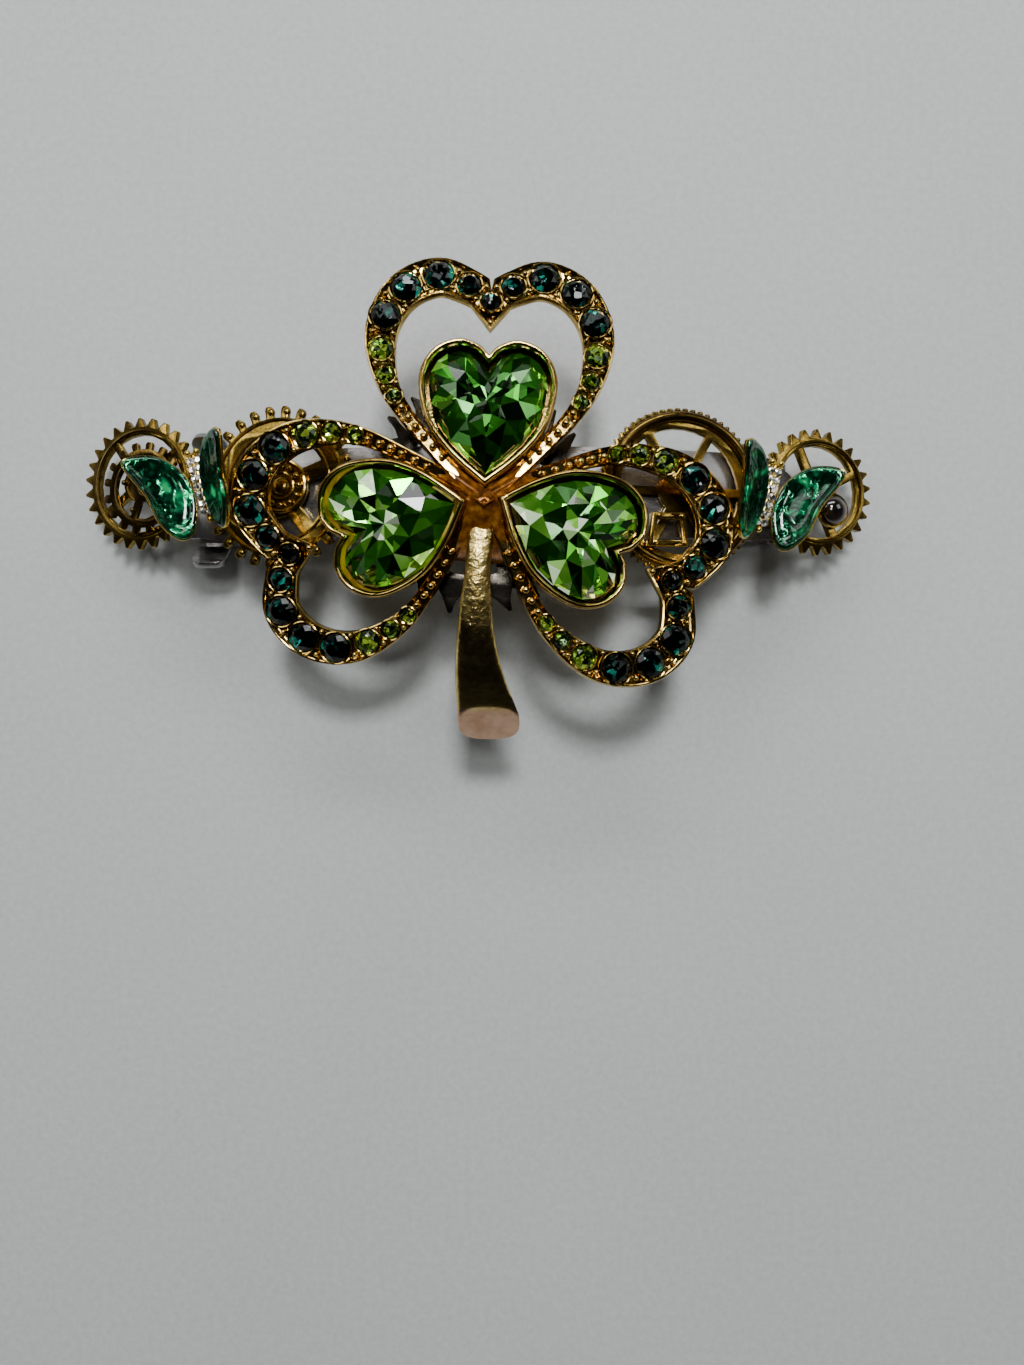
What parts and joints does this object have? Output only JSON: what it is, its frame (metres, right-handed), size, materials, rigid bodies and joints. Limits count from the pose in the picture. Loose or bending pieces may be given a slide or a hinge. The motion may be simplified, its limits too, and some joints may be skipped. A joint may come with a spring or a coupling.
{
  "type": "barrette",
  "caption": "Arched metal hair barrette with a shamrock brooch of green stones over clock gears and enamel butterflies, and a hinged clasp arm with squeeze tabs.",
  "frame": {"origin": "the middle of the clip's outline, at the level of the lowest face of the closed clasp arm", "axes": "+X along the plate towards the hinge, +Y towards the upper leaf, +Z out of the decorated face"},
  "size_m": [0.1042, 0.058, 0.0231],
  "materials": {
    "steel": "plain rolled spring steel, lightly brushed",
    "gold": "polished rose-gold plating over a cast zinc alloy",
    "antique_brass": "aged brass, bright where it is rubbed",
    "gunmetal": "dark blued plating",
    "peridot": "faceted yellow-green glass, foiled behind",
    "emerald": "small faceted dark green glass, foiled behind",
    "green_enamel": "clear green enamel over a patterned sheet",
    "clear_stone": "rows of small clear stones set in plated metal",
    "black_bead": "polished black dome"
  },
  "bodies": {
    "clip": {"brooch_post": "gold", "emerald_left_dark_a": "emerald", "emerald_left_dark_b": "emerald", "emerald_left_lobe_a": "emerald", "emerald_left_lobe_b": "emerald", "emerald_left_notch": "emerald", "emerald_left_shoulder_a": "emerald", "emerald_left_shoulder_b": "emerald", "emerald_left_side_a": "emerald", "emerald_left_side_b": "emerald", "emerald_right_dark_a": "emerald", "emerald_right_dark_b": "emerald", "emerald_right_lobe_a": "emerald", "emerald_right_lobe_b": "emerald", "emerald_right_notch": "emerald", "emerald_right_shoulder_a": "emerald", "emerald_right_shoulder_b": "emerald", "emerald_right_side_a": "emerald", "emerald_right_side_b": "emerald", "emerald_top_dark_a": "emerald", "emerald_top_dark_b": "emerald", "emerald_top_lobe_a": "emerald", "emerald_top_lobe_b": "emerald", "emerald_top_notch": "emerald", "emerald_top_shoulder_a": "emerald", "emerald_top_shoulder_b": "emerald", "emerald_top_side_a": "emerald", "emerald_top_side_b": "emerald", "heart_cup_left": "gold", "heart_cup_right": "gold", "heart_cup_top": "gold", "heart_stone_left": "peridot", "heart_stone_right": "peridot", "heart_stone_top": "peridot", "hinge_pin": "steel", "latch_base": "steel", "latch_rivet": "steel", "left_butterfly_body": "clear_stone", "left_butterfly_inner_wing": "green_enamel", "left_butterfly_outer_wing": "green_enamel", "left_end_gear": "antique_brass", "left_gear": "antique_brass", "left_gear_rosette": "antique_brass", "left_small_gear": "antique_brass", "right_butterfly_body": "clear_stone", "right_butterfly_inner_wing": "green_enamel", "right_butterfly_outer_wing": "green_enamel", "right_end_bead": "black_bead", "right_end_gear": "antique_brass", "right_gear": "antique_brass", "shamrock_casting": "gold", "star_gear": "gunmetal", "tension_bar": "steel", "top_plate": "steel", "watch_bridge": "antique_brass"},
    "clasp_arm": {"clasp_arm": "steel"},
    "latch_tab_far": {"latch_tab_far": "steel"},
    "latch_tab_near": {"latch_tab_near": "steel"}
  },
  "joints": [
    {"name": "clasp_hinge", "type": "hinge", "parent": "clip", "child": "clasp_arm", "pos_m": [0.03994, 0.00183, 0.00175], "axis": [0, -1, 0], "range_deg": [0, 60]},
    {"name": "far_tab_squeeze", "type": "hinge", "parent": "clip", "child": "latch_tab_far", "pos_m": [-0.03486, 0.00778, 0.0044], "axis": [1, 0, 0], "range_deg": [0, 14], "stiffness_Nm_per_rad": 0.02},
    {"name": "near_tab_squeeze", "type": "hinge", "parent": "clip", "child": "latch_tab_near", "pos_m": [-0.03486, -0.00412, 0.0044], "axis": [-1, 0, 0], "range_deg": [0, 14], "stiffness_Nm_per_rad": 0.02}
  ]
}
